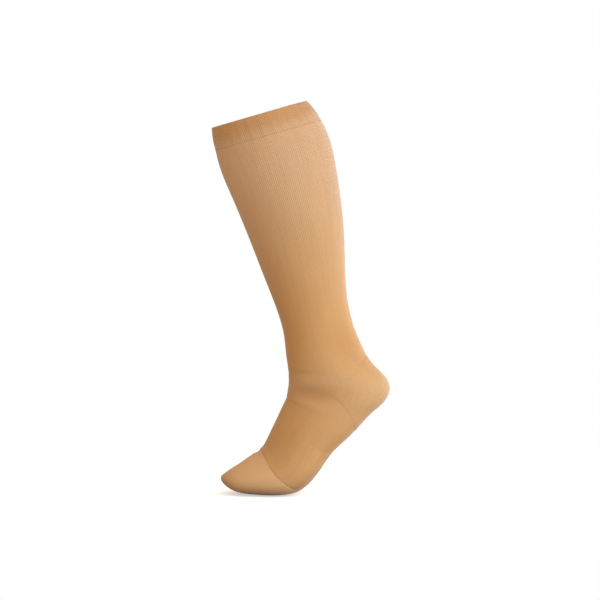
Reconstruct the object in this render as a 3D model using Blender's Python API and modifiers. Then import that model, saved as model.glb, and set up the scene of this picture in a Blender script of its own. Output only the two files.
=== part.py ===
"""Compression stocking, knee length, with a closed toe, in the shape it has when it is worn.

The stocking is hollow. It keeps the form of a general leg with the heel lifted, as when
someone stands on the ball of the foot: the leg hangs from the top band, the toes point to -X,
the heel points to +X, and the XZ plane is its plane of symmetry. +Z is up, the origin is the
centre of the top band at half its height, and all pieces are in the same frame.

The rings in SECTIONS carry one smooth surface from the top edge to the tip of the toe. A place
on it is given by the distance down the stocking and by the angle around it, which is 0 at the
front (shin, instep and top of the toes) and 180 degrees at the back (calf, heel and sole). Each
piece of cloth is a stretch of that surface, and a Solidify modifier gives it its thickness.
"""

from collections import namedtuple

import bmesh
import bpy
import numpy as np

MM = 0.001

# Driving sizes, in millimetres and degrees.
BAND_HEIGHT = 25.0
BAND_STANDS_PROUD = 0.6
BAND_EDGE_ROUNDING = 0.7
WALLS = {"top_band": 2.4, "leg": 1.5, "heel": 1.8, "foot": 1.5, "toe": 1.7}
SEAM_GAP = 0.3
SLANTED_SEAM_GAP = 0.36
HEEL_APEX = 72.0
HEEL_TIP_SET_BACK = 0.8

# The mesh: columns around the stocking, and the length of cloth between two rings, which is
# less where the ankle creases it. A ring lies EDGE_RING from each edge.
COLUMNS = 40
RING_SPACING = 12.0
CREASED_SPACING = 4.5
CREASED_STRETCH = (285.0, 345.0)
BAND_RINGS = 4
HEEL_RINGS = 12
TOE_RINGS = 11
EDGE_RING = 0.8

# The step, in millimetres and in radians, over which the surface's directions are measured.
NUDGE = 0.05

# One row for each section. x and z are its centre. tilt is how far its back edge is turned up
# from level. full is how much wider its back half is than its front half, and square is the
# exponent of its back half, where 2 is an ellipse and more is flatter, as under the ball.
Section = namedtuple("Section", "name x z tilt depth breadth full square")
SECTIONS = (
    Section("top edge", -5.0, 11.5, 16.0, 107.0, 102.0, 0.03, 2.0),
    Section("under the band", 3.5, -7.5, 16.0, 118.5, 111.0, 0.04, 2.0),
    Section("widest calf", 13.5, -35.5, 15.5, 124.0, 115.0, 0.06, 2.0),
    Section("lower calf", 22.0, -63.0, 15.0, 119.0, 111.0, 0.07, 2.0),
    Section("calf taper 1", 30.0, -91.0, 14.5, 111.5, 104.0, 0.07, 2.0),
    Section("calf taper 2", 37.0, -119.0, 14.0, 103.5, 95.0, 0.07, 2.0),
    Section("calf taper 3", 43.0, -147.0, 13.5, 94.5, 85.0, 0.06, 2.0),
    Section("calf taper 4", 48.5, -174.5, 13.0, 85.0, 76.0, 0.05, 2.0),
    Section("narrowest ankle", 54.5, -202.5, 12.0, 77.5, 69.0, 0.03, 2.0),
    Section("lower ankle", 60.5, -226.0, 10.0, 77.5, 66.0, 0.0, 2.0),
    Section("above the heel", 66.5, -248.5, 8.0, 84.0, 66.5, -0.03, 2.0),
    Section("upper heel", 74.5, -268.5, 4.0, 95.0, 68.0, -0.06, 2.0),
    Section("heel", 83.0, -287.0, -2.0, 111.5, 69.0, -0.06, 2.1),
    Section("heel turn", 79.5, -298.0, -7.0, 107.0, 69.0, 0.0, 2.2),
    Section("under the heel", 73.0, -306.5, -10.5, 97.0, 69.0, 0.06, 2.3),
    Section("instep", 60.0, -323.5, -20.0, 83.5, 70.0, 0.18, 2.4),
    Section("arch", 46.0, -340.5, -30.0, 72.5, 74.0, 0.28, 2.4),
    Section("mid-foot", 36.5, -356.0, -32.0, 69.0, 79.5, 0.32, 2.5),
    Section("ball", 27.2, -371.1, -32.8, 66.5, 85.0, 0.32, 2.5),
    Section("toe root", 14.8, -381.9, -39.5, 64.0, 87.0, 0.28, 2.5),
    Section("toes", -1.0, -387.0, -48.0, 53.0, 84.5, 0.22, 2.5),
    Section("toes taper 1", -16.0, -390.0, -55.5, 40.0, 77.5, 0.14, 2.5),
    Section("toes taper 2", -29.5, -392.0, -63.0, 29.0, 66.0, 0.1, 2.4),
    Section("toes taper 3", -38.5, -392.5, -68.0, 19.5, 50.5, 0.06, 2.3),
    Section("tip", -47.0, -391.0, -72.0, 0.0, 0.0, 0.0, 2.0),
)

# Where the cloth changes from one piece to the next: a section, and a distance past it. The toe
# seam lies past the toe root, further back over the toes than at their sides.
ANKLE_BEND = ("heel", 5.0)
HEEL_TOP = ("above the heel", 9.0)
HEEL_END = ("instep", 0.0)
TOE_SEAM = {"top": -12.0, "side": 1.0, "sole": -2.0}

# One row for each soft crease that a bent ankle and toes press into the cloth. It lies past the
# named section and centres on angle; along is half its width, around is half its length, and
# slant moves it down the stocking for each degree around.
Crease = namedtuple("Crease", "section past angle along around depth slant")
CREASES = (
    Crease("heel", 12.0, -62.0, 20.0, 54.0, 2.2, -0.03),
    Crease("heel", 9.5, 58.0, 17.0, 56.0, 1.9, 0.04),
    Crease("upper heel", 2.5, -36.0, 8.0, 44.0, 0.5, -0.05),
    Crease("upper heel", 5.0, 38.0, 6.5, 46.0, 0.7, 0.05),
    Crease("under the heel", 5.0, 24.0, 6.0, 50.0, 0.7, 0.03),
    Crease("under the heel", 9.0, -34.0, 6.5, 42.0, 0.6, -0.04),
    Crease("lower ankle", 2.0, 176.0, 9.0, 60.0, 0.7, 0.02),
    Crease("above the heel", -6.0, 190.0, 7.0, 48.0, 0.5, -0.03),
    Crease("toe root", -6.0, 4.0, 8.0, 62.0, 0.8, 0.0),
)

COLOURS = {
    "top_band": "C08D58",
    "leg": "CB9B67",
    "heel": "CA9965",
    "foot": "CB9B67",
    "toe": "DAAE7D",
}
KNIT_ROUGHNESS = 0.72


# ---- The surface that all the pieces are cut from


def natural_spline(knots, values):
    """A smooth curve through each column of values, as a function of the distance along it."""
    width = np.diff(knots)[:, None]
    slope = np.diff(values, axis=0) / width
    system = np.eye(len(knots))
    change = np.zeros_like(values)
    for i in range(1, len(knots) - 1):
        before, after = width[i - 1, 0], width[i, 0]
        system[i, i - 1 : i + 2] = before, 2 * (before + after), after
        change[i] = 6 * (slope[i] - slope[i - 1])
    bend = np.linalg.solve(system, change)

    def curve(distance):
        i = np.clip(np.searchsorted(knots, distance) - 1, 0, len(knots) - 2)
        past = (distance - knots[i])[..., None]
        left = (knots[i + 1] - distance)[..., None]
        cubic = (bend[i] * left**3 + bend[i + 1] * past**3) / (6 * width[i])
        start = (values[i] / width[i] - bend[i] * width[i] / 6) * left
        end = (values[i + 1] / width[i] - bend[i + 1] * width[i] / 6) * past
        return cubic + start + end

    return curve


def distances_down():
    """How far down the stocking each section lies, along the line of their centres."""
    centres = np.array([(section.x, section.z) for section in SECTIONS])
    steps = np.linalg.norm(np.diff(centres, axis=0), axis=1)
    return np.concatenate([[0.0], np.cumsum(steps)])


def section_curve():
    """The sections' sizes along the stocking. Depth and breadth are carried as squares, so
    that they round off to nothing at the tip."""
    sizes = [
        (each.x, each.z, each.tilt, each.depth**2, each.breadth**2, each.full, each.square)
        for each in SECTIONS
    ]
    return natural_spline(DOWN, np.array(sizes))


DOWN = distances_down()
LENGTH = DOWN[-1]
SIZES_AT = section_curve()


def down_to(section, past=0.0):
    """The distance down the stocking to a named section, and past it."""
    return DOWN[[each.name for each in SECTIONS].index(section)] + past


def bump(distance, half_width):
    """1 in the middle of a soft bump, and 0 from half_width on."""
    return (1 + np.cos(np.pi * np.clip(np.abs(distance) / half_width, 0, 1))) / 2


def turn_from(angle, middle=0.0):
    """How many degrees an angle in radians lies from a middle in degrees, the short way."""
    return (np.degrees(angle) - middle + 180) % 360 - 180


def crease_depth(down, angle):
    """How far the creases press the cloth in."""
    total = np.zeros_like(down)
    for crease in CREASES:
        turn = turn_from(angle, crease.angle)
        across = down - down_to(crease.section, crease.past) - crease.slant * turn
        total += crease.depth * bump(across, crease.along) * bump(turn, crease.around)
    return total


def smooth_surface(down, angle):
    """Points of the stocking's outer face before it is creased."""
    x, z, tilt, depth2, breadth2, full, square = np.moveaxis(SIZES_AT(down), -1, 0)
    cos, sin = np.cos(angle), np.sin(angle)
    power = np.where(cos < 0, 2 / square, 1.0)
    forward = np.sign(cos) * np.abs(cos) ** power * np.sqrt(np.maximum(depth2, 0)) / 2
    aside = np.sign(sin) * np.abs(sin) ** power * np.sqrt(np.maximum(breadth2, 0)) / 2
    tilt = np.radians(tilt)
    return np.stack(
        [x - forward * np.cos(tilt), aside * (1 - full * cos), z - forward * np.sin(tilt)],
        axis=-1,
    )


def directions(down, angle):
    """How the surface runs down the stocking and around it, for each unit of either."""
    inside = np.clip(down, NUDGE, LENGTH - 2)
    along = smooth_surface(inside + NUDGE, angle) - smooth_surface(inside - NUDGE, angle)
    around = smooth_surface(inside, angle + NUDGE) - smooth_surface(inside, angle - NUDGE)
    return along / (2 * NUDGE), around / (2 * NUDGE)


def cloth_surface(down, angle, proud=0.0):
    """Points of the cloth's outer face, creased, and moved out by proud."""
    along, around = directions(down, angle)
    out = np.cross(around, along)
    out /= np.linalg.norm(out, axis=-1, keepdims=True)
    return smooth_surface(down, angle) + out * (proud - crease_depth(down, angle))[..., None]


def further(down, angle, length):
    """The place that lies this length of cloth further down the stocking."""
    along, _ = directions(down, angle)
    return down + length / np.linalg.norm(along, axis=-1)


# ---- From the surface to pieces of cloth


def ring_shares(first, last):
    """Where the rings lie between two places, from 0 to 1, closer where the cloth is creased."""
    marks = [first]
    while marks[-1] < last:
        creased = CREASED_STRETCH[0] <= marks[-1] < CREASED_STRETCH[1]
        marks.append(marks[-1] + (CREASED_SPACING if creased else RING_SPACING))
    marks = np.array(marks)
    return (marks - first) / (marks[-1] - first)


def grid(shares, angles, first, last, proud=0.0, edges=2):
    """The cloth's points between two edges. Rows run down it and columns around it. A ring
    close to each edge keeps the wall square to the cloth there, so that seams are parallel."""
    close = EDGE_RING / np.max(last - first)
    shares = np.concatenate([shares[:1], [close], shares[1:]])
    if edges == 2:
        shares = np.concatenate([shares[:-1], [1 - close], shares[-1:]])
    down = first + shares[:, None] * (last - first)
    return cloth_surface(down, np.broadcast_to(angles, down.shape), proud)


def open_surface(name, points, closed_around=True):
    """A mesh of quads over a grid of points, facing out, with its poles merged."""
    rows, columns = points.shape[:2]
    faces = []
    for row in range(rows - 1):
        here, below = row * columns, (row + 1) * columns
        for column in range(columns if closed_around else columns - 1):
            beside = (column + 1) % columns
            faces.append((here + column, here + beside, below + beside, below + column))
    mesh = bpy.data.meshes.new(name)
    mesh.from_pydata((points.reshape(-1, 3) * MM).tolist(), [], faces)
    shell = bmesh.new()
    shell.from_mesh(mesh)
    bmesh.ops.remove_doubles(shell, verts=shell.verts, dist=0.001 * MM)
    shell.to_mesh(mesh)
    shell.free()
    mesh.shade_smooth()
    return mesh


def linear(channel):
    """An sRGB channel from 0 to 1 as linear light."""
    return channel / 12.92 if channel <= 0.04045 else ((channel + 0.055) / 1.055) ** 2.4


def knit_material(name):
    """The piece's own knit: its colour, and the dull finish of nylon and elastane yarn."""
    material = bpy.data.materials.new(name + "_knit")
    material.use_nodes = True
    shader = material.node_tree.nodes["Principled BSDF"]
    channels = [int(COLOURS[name][i : i + 2], 16) / 255 for i in (0, 2, 4)]
    colour = (*[linear(channel) for channel in channels], 1.0)
    shader.inputs["Base Color"].default_value = colour
    shader.inputs["Roughness"].default_value = KNIT_ROUGHNESS
    shader.inputs["Metallic"].default_value = 0.0
    material.diffuse_color = colour
    return material


def cloth_piece(name, mesh, collection, parent):
    """An object whose wall is as thick as this piece's knit, inwards from its outer face."""
    piece = bpy.data.objects.new(name, mesh)
    collection.objects.link(piece)
    piece.parent = parent
    mesh.materials.append(knit_material(name))
    wall = piece.modifiers.new("wall", "SOLIDIFY")
    wall.thickness = WALLS[name] * MM
    wall.offset = -1
    wall.use_even_offset = True
    return piece


# ---- The pieces, from the top edge to the toe

RING_ANGLES = np.radians(np.arange(COLUMNS) * 360 / COLUMNS)


def heel_share(angles):
    """How far the heel's edges have opened: 0 at its apexes, 1 at the back of the heel."""
    past_apex = (np.abs(turn_from(angles)) - HEEL_APEX) / (180 - HEEL_APEX)
    return np.sin(np.pi / 2 * np.clip(past_apex, 0, 1))


def heel_edges(angles):
    """The lines down to which the leg runs, and from which the foot does."""
    bend = down_to(*ANKLE_BEND)
    share = heel_share(angles)
    upper = bend - share * (bend - down_to(*HEEL_TOP))
    lower = bend + share * (down_to(*HEEL_END) - bend)
    return upper, lower


def toe_seam(angles):
    """The line down to which the foot runs."""
    top, side, sole = TOE_SEAM["top"], TOE_SEAM["side"], TOE_SEAM["sole"]
    cos = np.cos(angles)
    past = side + ((top + sole) / 2 - side) * cos**2 + (top - sole) / 2 * cos
    return down_to("toe root") + past


def top_band(collection, parent):
    """The turned double welt, with rounded edges."""
    first = np.zeros_like(RING_ANGLES)
    last = np.full_like(RING_ANGLES, BAND_HEIGHT)
    shares = np.linspace(0, 1, BAND_RINGS)
    mesh = open_surface("top_band", grid(shares, RING_ANGLES, first, last, BAND_STANDS_PROUD))
    band = cloth_piece("top_band", mesh, collection, parent)
    rounding = band.modifiers.new("rounding", "BEVEL")
    rounding.width = BAND_EDGE_ROUNDING * MM
    rounding.segments = 2
    rounding.limit_method = "ANGLE"
    rounding.angle_limit = np.radians(60)


def leg(collection, parent):
    """The graduated tube, from the band to the ankle bend and the top of the heel."""
    first = np.full_like(RING_ANGLES, BAND_HEIGHT)
    first = further(first, RING_ANGLES, SEAM_GAP)
    last, _ = heel_edges(RING_ANGLES)
    shares = ring_shares(BAND_HEIGHT, down_to(*ANKLE_BEND))
    mesh = open_surface("leg", grid(shares, RING_ANGLES, first, last))
    cloth_piece("leg", mesh, collection, parent)


def heel(collection, parent):
    """The heel pocket, which narrows to a point at an apex on each side."""
    tip = np.radians(HEEL_APEX + HEEL_TIP_SET_BACK)
    between = RING_ANGLES[(RING_ANGLES > tip) & (RING_ANGLES < 2 * np.pi - tip)]
    angles = np.concatenate([[tip], between, [2 * np.pi - tip]])
    upper, lower = heel_edges(angles)
    first = further(upper, angles, SLANTED_SEAM_GAP)
    last = further(lower, angles, -SLANTED_SEAM_GAP)
    first[[0, -1]] = last[[0, -1]] = (first + last)[[0, -1]] / 2
    points = grid(np.linspace(0, 1, HEEL_RINGS), angles, first, last)
    mesh = open_surface("heel", points, closed_around=False)
    cloth_piece("heel", mesh, collection, parent)


def foot(collection, parent):
    """The tube over the instep and under the arch, from the ankle bend to the toe seam."""
    upper, lower = heel_edges(RING_ANGLES)
    meets_leg = lower <= upper
    first = further(lower, RING_ANGLES, np.where(meets_leg, SEAM_GAP, 0.0))
    last = toe_seam(RING_ANGLES)
    shares = ring_shares(down_to(*ANKLE_BEND), np.max(last))
    mesh = open_surface("foot", grid(shares, RING_ANGLES, first, last))
    cloth_piece("foot", mesh, collection, parent)


def toe(collection, parent):
    """The closed toe pocket. Its rings crowd together where it rounds off to the tip."""
    first = further(toe_seam(RING_ANGLES), RING_ANGLES, SLANTED_SEAM_GAP)
    last = np.full_like(RING_ANGLES, LENGTH)
    shares = 1 - np.linspace(1, 0, TOE_RINGS) ** 2
    mesh = open_surface("toe", grid(shares, RING_ANGLES, first, last, edges=1))
    cloth_piece("toe", mesh, collection, parent)


def main():
    for old in list(bpy.data.objects):
        bpy.data.objects.remove(old)
    collection = bpy.data.collections.new("compression_stocking")
    bpy.context.scene.collection.children.link(collection)
    mouth = bpy.data.objects.new("mouth", None)
    collection.objects.link(mouth)
    for make in (top_band, leg, heel, foot, toe):
        make(collection, mouth)


main()
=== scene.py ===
# %% [markdown]
# # A compression stocking, in the shape it has when it is worn
#
# The real stocking is one long tube of fine nylon and elastane knit. A circular machine knits it
# from the top down: a double band that grips the leg, a tube that gets narrower towards the
# ankle, a heel pocket, the foot, and a closed toe pocket that is linked to the foot by hand.
# This lesson makes each of them as its own piece of cloth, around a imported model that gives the
# frame. The scene is in metres and its tables in millimetres, +Z is up, the toes point to -X and
# the heel to +X.

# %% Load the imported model
from collections import namedtuple

import bpy
import numpy as np
from mathutils import Matrix, Vector


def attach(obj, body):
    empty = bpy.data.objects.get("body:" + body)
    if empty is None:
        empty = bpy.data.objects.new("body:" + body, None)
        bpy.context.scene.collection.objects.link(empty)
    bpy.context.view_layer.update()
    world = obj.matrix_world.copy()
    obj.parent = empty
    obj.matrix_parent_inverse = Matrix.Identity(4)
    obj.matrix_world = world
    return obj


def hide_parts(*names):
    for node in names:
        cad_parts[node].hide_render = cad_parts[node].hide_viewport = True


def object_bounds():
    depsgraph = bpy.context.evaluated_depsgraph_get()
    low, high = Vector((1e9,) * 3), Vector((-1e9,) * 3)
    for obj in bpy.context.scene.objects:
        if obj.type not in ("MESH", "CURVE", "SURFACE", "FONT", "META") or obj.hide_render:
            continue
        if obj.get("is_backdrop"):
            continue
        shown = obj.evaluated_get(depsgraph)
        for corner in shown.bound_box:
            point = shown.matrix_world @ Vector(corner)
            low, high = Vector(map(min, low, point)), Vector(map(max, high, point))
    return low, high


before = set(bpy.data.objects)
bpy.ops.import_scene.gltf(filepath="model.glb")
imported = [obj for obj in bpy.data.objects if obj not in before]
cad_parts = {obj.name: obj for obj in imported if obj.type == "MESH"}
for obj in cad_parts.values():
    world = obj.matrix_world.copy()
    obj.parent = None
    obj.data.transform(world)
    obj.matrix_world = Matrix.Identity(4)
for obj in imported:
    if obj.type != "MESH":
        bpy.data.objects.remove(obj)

MM = 0.001
cad_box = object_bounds()
bpy.ops.object.select_all(action="DESELECT")
print("nodes of the packed model:", sorted(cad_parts))

# %% [markdown]
# ## The camera
#
# A stocking is long and slender, so a long lens from a few metres away keeps the calf and the
# foot in proportion. The camera looks along +Y at the left side of the stocking, from a little
# above level, so that the foot reads as standing on its toes.

# %% Place the camera
VIEW_CENTRE = Vector((0.0399, 0.0, -0.1927))
VIEW_WIDTH = 0.66
CAMERA_DISTANCE = 3.67
CAMERA_RISE = np.radians(3.0)
SENSOR_WIDTH = 36.0

bpy.ops.object.camera_add(rotation=(np.pi / 2 - CAMERA_RISE, 0.0, 0.0))
camera = bpy.context.object
back_off = Vector((0.0, -np.cos(CAMERA_RISE), np.sin(CAMERA_RISE))) * CAMERA_DISTANCE
camera.location = VIEW_CENTRE + back_off
camera.data.sensor_width = SENSOR_WIDTH
camera.data.lens = SENSOR_WIDTH * CAMERA_DISTANCE / VIEW_WIDTH
bpy.context.scene.camera = camera
print(f"lens of {camera.data.lens:.0f} mm, {CAMERA_DISTANCE} m away")

# %% [markdown]
# ## The form of the leg and foot
#
# A stocking has no form of its own: it takes that of the leg inside it. A sculptor might carve
# that form, but a tailor writes it down as girths at stated heights, and that is what this table
# is. Each row is one ring of knit: its centre, how many degrees its back edge is turned up from
# level, and its depth and breadth. `full` makes the back half wider than the front, and `square`
# flattens the back half, as under the ball of the foot. A smooth curve runs through all the
# rings, so a place on the cloth is a distance down the stocking and an angle around it. The angle
# is 0 at the shin and on top of the toes, and half a turn at the calf, the heel and the sole.

# %% Write down the rings
Section = namedtuple("Section", "name x z tilt depth breadth full square")
SECTIONS = tuple(Section(*row) for row in (
    ("top edge", -5.0, 11.5, 16.0, 107.0, 102.0, 0.03, 2.0),
    ("under the band", 3.5, -7.5, 16.0, 118.5, 111.0, 0.04, 2.0),
    ("widest calf", 13.5, -35.5, 15.5, 124.0, 115.0, 0.06, 2.0),
    ("lower calf", 22.0, -63.0, 15.0, 119.0, 111.0, 0.07, 2.0),
    ("calf taper 1", 30.0, -91.0, 14.5, 111.5, 104.0, 0.07, 2.0),
    ("calf taper 2", 37.0, -119.0, 14.0, 103.5, 95.0, 0.07, 2.0),
    ("calf taper 3", 43.0, -147.0, 13.5, 94.5, 85.0, 0.06, 2.0),
    ("calf taper 4", 48.5, -174.5, 13.0, 85.0, 76.0, 0.05, 2.0),
    ("narrowest ankle", 54.5, -202.5, 12.0, 77.5, 69.0, 0.03, 2.0),
    ("lower ankle", 60.5, -226.0, 10.0, 77.5, 66.0, 0.0, 2.0),
    ("above the heel", 66.5, -248.5, 8.0, 84.0, 66.5, -0.03, 2.0),
    ("upper heel", 74.5, -268.5, 4.0, 95.0, 68.0, -0.06, 2.0),
    ("heel", 83.0, -287.0, -2.0, 111.5, 69.0, -0.06, 2.1),
    ("heel turn", 79.5, -298.0, -7.0, 107.0, 69.0, 0.0, 2.2),
    ("under the heel", 73.0, -306.5, -10.5, 97.0, 69.0, 0.06, 2.3),
    ("instep", 60.0, -323.5, -20.0, 83.5, 70.0, 0.18, 2.4),
    ("arch", 46.0, -340.5, -30.0, 72.5, 74.0, 0.28, 2.4),
    ("mid-foot", 36.5, -356.0, -32.0, 69.0, 79.5, 0.32, 2.5),
    ("ball", 27.2, -371.1, -32.8, 66.5, 85.0, 0.32, 2.5),
    ("toe root", 14.8, -381.9, -39.5, 64.0, 87.0, 0.28, 2.5),
    ("toes", -1.0, -387.0, -48.0, 53.0, 84.5, 0.22, 2.5),
    ("toes taper 1", -16.0, -390.0, -55.5, 40.0, 77.5, 0.14, 2.5),
    ("toes taper 2", -29.5, -392.0, -63.0, 29.0, 66.0, 0.1, 2.4),
    ("toes taper 3", -38.5, -392.5, -68.0, 19.5, 50.5, 0.06, 2.3),
    ("tip", -47.0, -391.0, -72.0, 0.0, 0.0, 0.0, 2.0),
))
print(len(SECTIONS), "rings, the deepest", max(each.depth for each in SECTIONS), "mm")


# %% Run a smooth curve through the rings
def smooth_curve(knots, values):
    """A natural cubic through each column of values, as a function of the distance along it."""
    width = np.diff(knots)[:, None]
    slope = np.diff(values, axis=0) / width
    system = np.eye(len(knots))
    change = np.zeros_like(values)
    for i in range(1, len(knots) - 1):
        before, after = width[i - 1, 0], width[i, 0]
        system[i, i - 1 : i + 2] = before, 2 * (before + after), after
        change[i] = 6 * (slope[i] - slope[i - 1])
    bend = np.linalg.solve(system, change)

    def curve(distance):
        i = np.clip(np.searchsorted(knots, distance) - 1, 0, len(knots) - 2)
        past = (distance - knots[i])[..., None]
        left = (knots[i + 1] - distance)[..., None]
        cubic = (bend[i] * left**3 + bend[i + 1] * past**3) / (6 * width[i])
        start = (values[i] / width[i] - bend[i] * width[i] / 6) * left
        end = (values[i + 1] / width[i] - bend[i + 1] * width[i] / 6) * past
        return cubic + start + end

    return curve


def run_along(points):
    """The length of a line up to each of its points."""
    return np.concatenate([[0.0], np.cumsum(np.linalg.norm(np.diff(points, axis=0), axis=1))])


DOWN = run_along(np.array([(each.x, each.z) for each in SECTIONS]))
LENGTH = DOWN[-1]
SIZES_AT = smooth_curve(
    DOWN,
    np.array([
        (each.x, each.z, each.tilt, each.depth**2, each.breadth**2, each.full, each.square)
        for each in SECTIONS
    ]),
)


def down_to(section, past=0.0):
    """The distance down the stocking to a named ring, and past it."""
    return DOWN[[each.name for each in SECTIONS].index(section)] + past


print(f"{LENGTH:.0f} mm from the top edge to the tip, along the rings' centres")

# %% [markdown]
# ## Creases, and the shade painted into them
# The knit's colour is darkened in them too, as painted shade, the more the deeper they are.
#
# Firm knit lies almost flat on a leg. It creases only where the leg bends: across the front of
# the ankle, above the heel, and over the toes. A cloth simulation would find creases too, but
# not where this stocking has them, so each is listed as a soft trough, and a few as low
# ridges of pushed-up cloth beside one. They differ in length, depth and spacing, and the side
# that faces away has its own. The long hollows beside the heel cord are made in the same way.
# The knit also gathers a little where it leaves the tight band, and nowhere is it perfectly
# true, so a slow unevenness of a fraction of a millimetre runs over it.

# %% Place the creases
# Each lies so far past a ring, at an angle in degrees. It reaches so far along and around the leg
# on either side, is so deep, and slants down by so much for each degree around.
Crease = namedtuple("Crease", "section past angle along around depth slant")
CREASES = tuple(Crease(*row) for row in (
    ("heel", 12.0, -62.0, 20.0, 54.0, 2.2, -0.03),
    ("heel", 9.5, 58.0, 17.0, 56.0, 1.9, 0.04),
    ("upper heel", 2.5, -36.0, 8.0, 44.0, 0.5, -0.05),
    ("upper heel", 5.0, 38.0, 6.5, 46.0, 0.7, 0.05),
    ("under the heel", 5.0, 24.0, 6.0, 50.0, 0.7, 0.03),
    ("under the heel", 9.0, -34.0, 6.5, 42.0, 0.6, -0.04),
    ("lower ankle", 2.0, 176.0, 9.0, 60.0, 0.7, 0.02),
    ("above the heel", -6.0, 190.0, 7.0, 48.0, 0.5, -0.03),
    ("toe root", -6.0, 4.0, 8.0, 62.0, 0.8, 0.0),
    # The finer ones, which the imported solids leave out. A negative depth is a ridge.
    ("heel", -13.0, -40.0, 5.0, 44.0, -0.15, -0.04),
    ("heel", 29.0, -60.0, 8.0, 46.0, -0.25, -0.05),
    ("upper heel", 0.5, -52.0, 3.6, 34.0, 0.35, -0.08),
    ("upper heel", 2.0, 16.0, 3.2, 30.0, 0.4, 0.06),
    ("above the heel", 8.0, -24.0, 4.0, 32.0, 0.3, -0.05),
    ("above the heel", 4.0, 46.0, 4.2, 38.0, 0.35, 0.07),
    ("heel", -4.5, 60.0, 4.0, 44.0, -0.4, 0.05),
    ("instep", -6.0, -20.0, 4.5, 36.0, 0.4, -0.06),
    ("instep", -2.0, 52.0, 4.8, 34.0, 0.35, 0.05),
    ("lower ankle", 11.0, -164.0, 4.5, 40.0, 0.35, -0.06),
    ("narrowest ankle", 12.0, 158.0, 5.0, 42.0, 0.3, 0.05),
    ("above the heel", 2.0, -150.0, 4.2, 36.0, -0.25, -0.05),
    ("ball", -2.0, -26.0, 4.0, 40.0, 0.4, -0.05),
    ("ball", 5.0, 34.0, 4.4, 38.0, 0.35, 0.04),
    ("toe root", 2.0, -14.0, 3.4, 44.0, -0.35, -0.02),
    ("arch", 4.0, -128.0, 5.5, 34.0, 0.35, 0.08),
    ("arch", 9.0, 120.0, 5.0, 36.0, 0.4, -0.07),
    # The long hollows between the ankle and the heel cord, one on each side. Their depth also sets
    # the painted shade in the knit's colour.
    ("above the heel", -4.0, -130.0, 36.0, 46.0, 1.4, 0.0),
    ("above the heel", -1.0, 134.0, 33.0, 43.0, 1.2, 0.02),
))
print(f"{len(CREASES)} creases, the deepest {max(each.depth for each in CREASES)} mm")


# %% Press the creases in
def bump(distance, half_width):
    """1 in the middle of a soft bump, and 0 from half_width on."""
    return (1 + np.cos(np.pi * np.clip(np.abs(distance) / half_width, 0, 1))) / 2


def turn_from(angle, middle=0.0):
    """How many degrees an angle in radians lies from a middle in degrees, the short way."""
    return (np.degrees(angle) - middle + 180) % 360 - 180


def crease_depth(down, angle):
    """How far the creases press the cloth in, in millimetres."""
    total = np.zeros(np.broadcast(down, angle).shape)
    for crease in CREASES:
        turn = turn_from(angle, crease.angle)
        across = down - down_to(crease.section, crease.past) - crease.slant * turn
        total = total + crease.depth * bump(across, crease.along) * bump(turn, crease.around)
    return total


# %% Make the cloth a little uneven
# Height in mm, lobes around the leg, mm down the leg for each radian, and radians at the start.
Wave = namedtuple("Wave", "height lobes pitch shift")
STEADY_WAVES = (Wave(0.12, 3, -23.0, 2.0), Wave(0.07, 5, 13.0, 0.0))
FADING_WAVE = Wave(0.16, 2, 31.0, 0.6)
ITS_FADING = Wave(1.0, 0, 47.0, 1.1)
# How far the gathers stray from even spacing, in radians.
STRAYING = (Wave(0.5, 3, np.inf, 1.0), Wave(0.4, 7, np.inf, 0.0))
BAND_HEIGHT = 25.0
GATHERS = 31
GATHER_DEPTH = 0.13
GATHER_FADE = 9.0


def wave_at(wave, down, angle):
    return wave.height * np.sin(wave.lobes * angle + down / wave.pitch + wave.shift)


def unevenness(down, angle):
    """The slow waviness of worn knit, and the gathers that fade out below the band."""
    slow = wave_at(FADING_WAVE, down, angle) * wave_at(ITS_FADING, down, angle)
    slow = slow + sum(wave_at(wave, down, angle) for wave in STEADY_WAVES)
    fade = np.exp(-np.maximum(down - BAND_HEIGHT, 0) / GATHER_FADE)
    stray = sum(wave_at(wave, down, angle) for wave in STRAYING)
    return slow - GATHER_DEPTH * fade * (1 + np.cos(GATHERS * angle + stray))


print(f"{GATHERS} gathers, {2 * GATHER_DEPTH:.2f} mm deep where they leave the band")


# %% Find a point on the cloth
NUDGE = 0.05
SHORT_OF_TIP = 2.0


def bare_form(down, angle):
    """Points on the form, before the cloth on it creases, in millimetres."""
    x, z, tilt, depth2, breadth2, full, square = np.moveaxis(SIZES_AT(down), -1, 0)
    cos, sin = np.cos(angle), np.sin(angle)
    power = np.where(cos < 0, 2 / square, 1.0)
    forward = np.sign(cos) * np.abs(cos) ** power * np.sqrt(np.maximum(depth2, 0)) / 2
    aside = np.sign(sin) * np.abs(sin) ** power * np.sqrt(np.maximum(breadth2, 0)) / 2
    tilt = np.radians(tilt)
    return np.stack(
        [x - forward * np.cos(tilt), aside * (1 - full * cos), z - forward * np.sin(tilt)],
        axis=-1,
    )


def directions(down, angle):
    """How the form runs down the stocking and around it, for each unit of either. At the tip
    itself it has no direction, so the one a little short of it is given."""
    inside = np.clip(down, NUDGE, LENGTH - SHORT_OF_TIP)
    along = bare_form(inside + NUDGE, angle) - bare_form(inside - NUDGE, angle)
    around = bare_form(inside, angle + NUDGE) - bare_form(inside, angle - NUDGE)
    return along / (2 * NUDGE), around / (2 * NUDGE)


def cloth(down, angle, proud=0.0):
    """Points of the cloth's outer face, in millimetres, moved out by proud."""
    along, around = directions(down, angle)
    out = np.cross(around, along)
    out /= np.linalg.norm(out, axis=-1, keepdims=True)
    lift = proud - crease_depth(down, angle) + unevenness(down, angle)
    return bare_form(down, angle) + out * lift[..., None]


def further(down, angle, length):
    """The place that lies this length of cloth further down the stocking."""
    along, _ = directions(down, angle)
    return down + length / np.linalg.norm(along, axis=-1)


print("the back of the heel, in mm:", cloth(np.array(down_to("heel")), np.array(np.pi)).round(1))

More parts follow.
